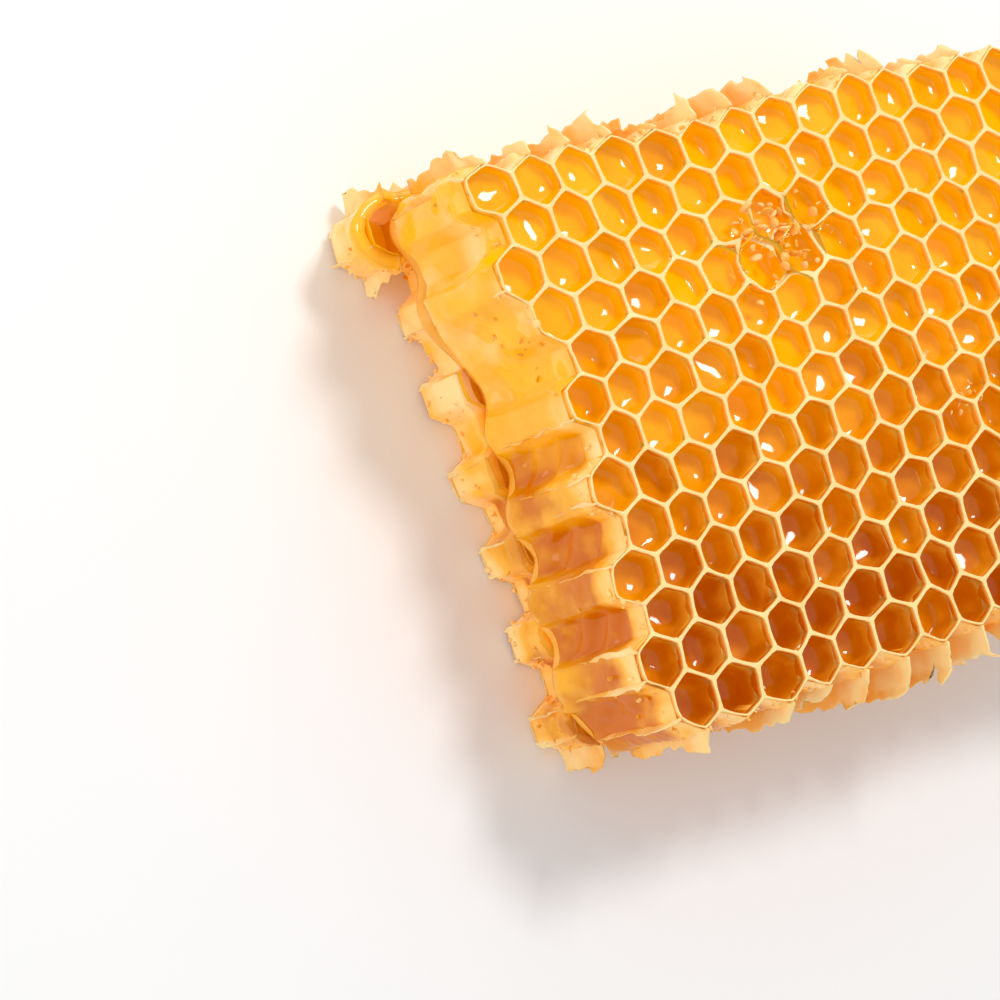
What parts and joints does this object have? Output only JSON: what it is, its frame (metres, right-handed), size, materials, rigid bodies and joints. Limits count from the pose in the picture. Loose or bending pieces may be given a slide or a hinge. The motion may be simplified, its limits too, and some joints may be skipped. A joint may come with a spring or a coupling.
{
  "type": "piece of honeycomb",
  "caption": "Knife-cut piece of honeycomb: open hexagonal wax cells filled with honey on both sides of a wax midrib, with cut-open cells and torn wax at its edges.",
  "frame": {"origin": "middle of the piece's bounding box, on the surface that it lies on", "axes": "+X along the rows of cells, away from the cut side that shows; +Y across the rows; +Z out of the open cell mouths"},
  "size_m": [0.08, 0.0688, 0.027],
  "materials": {
    "honey": "glossy, clear amber",
    "wax": "waxy, translucent cream"
  },
  "bodies": {
    "root": {"front_cells": "honey", "midrib": "wax", "back_cells": "honey"}
  },
  "joints": []
}
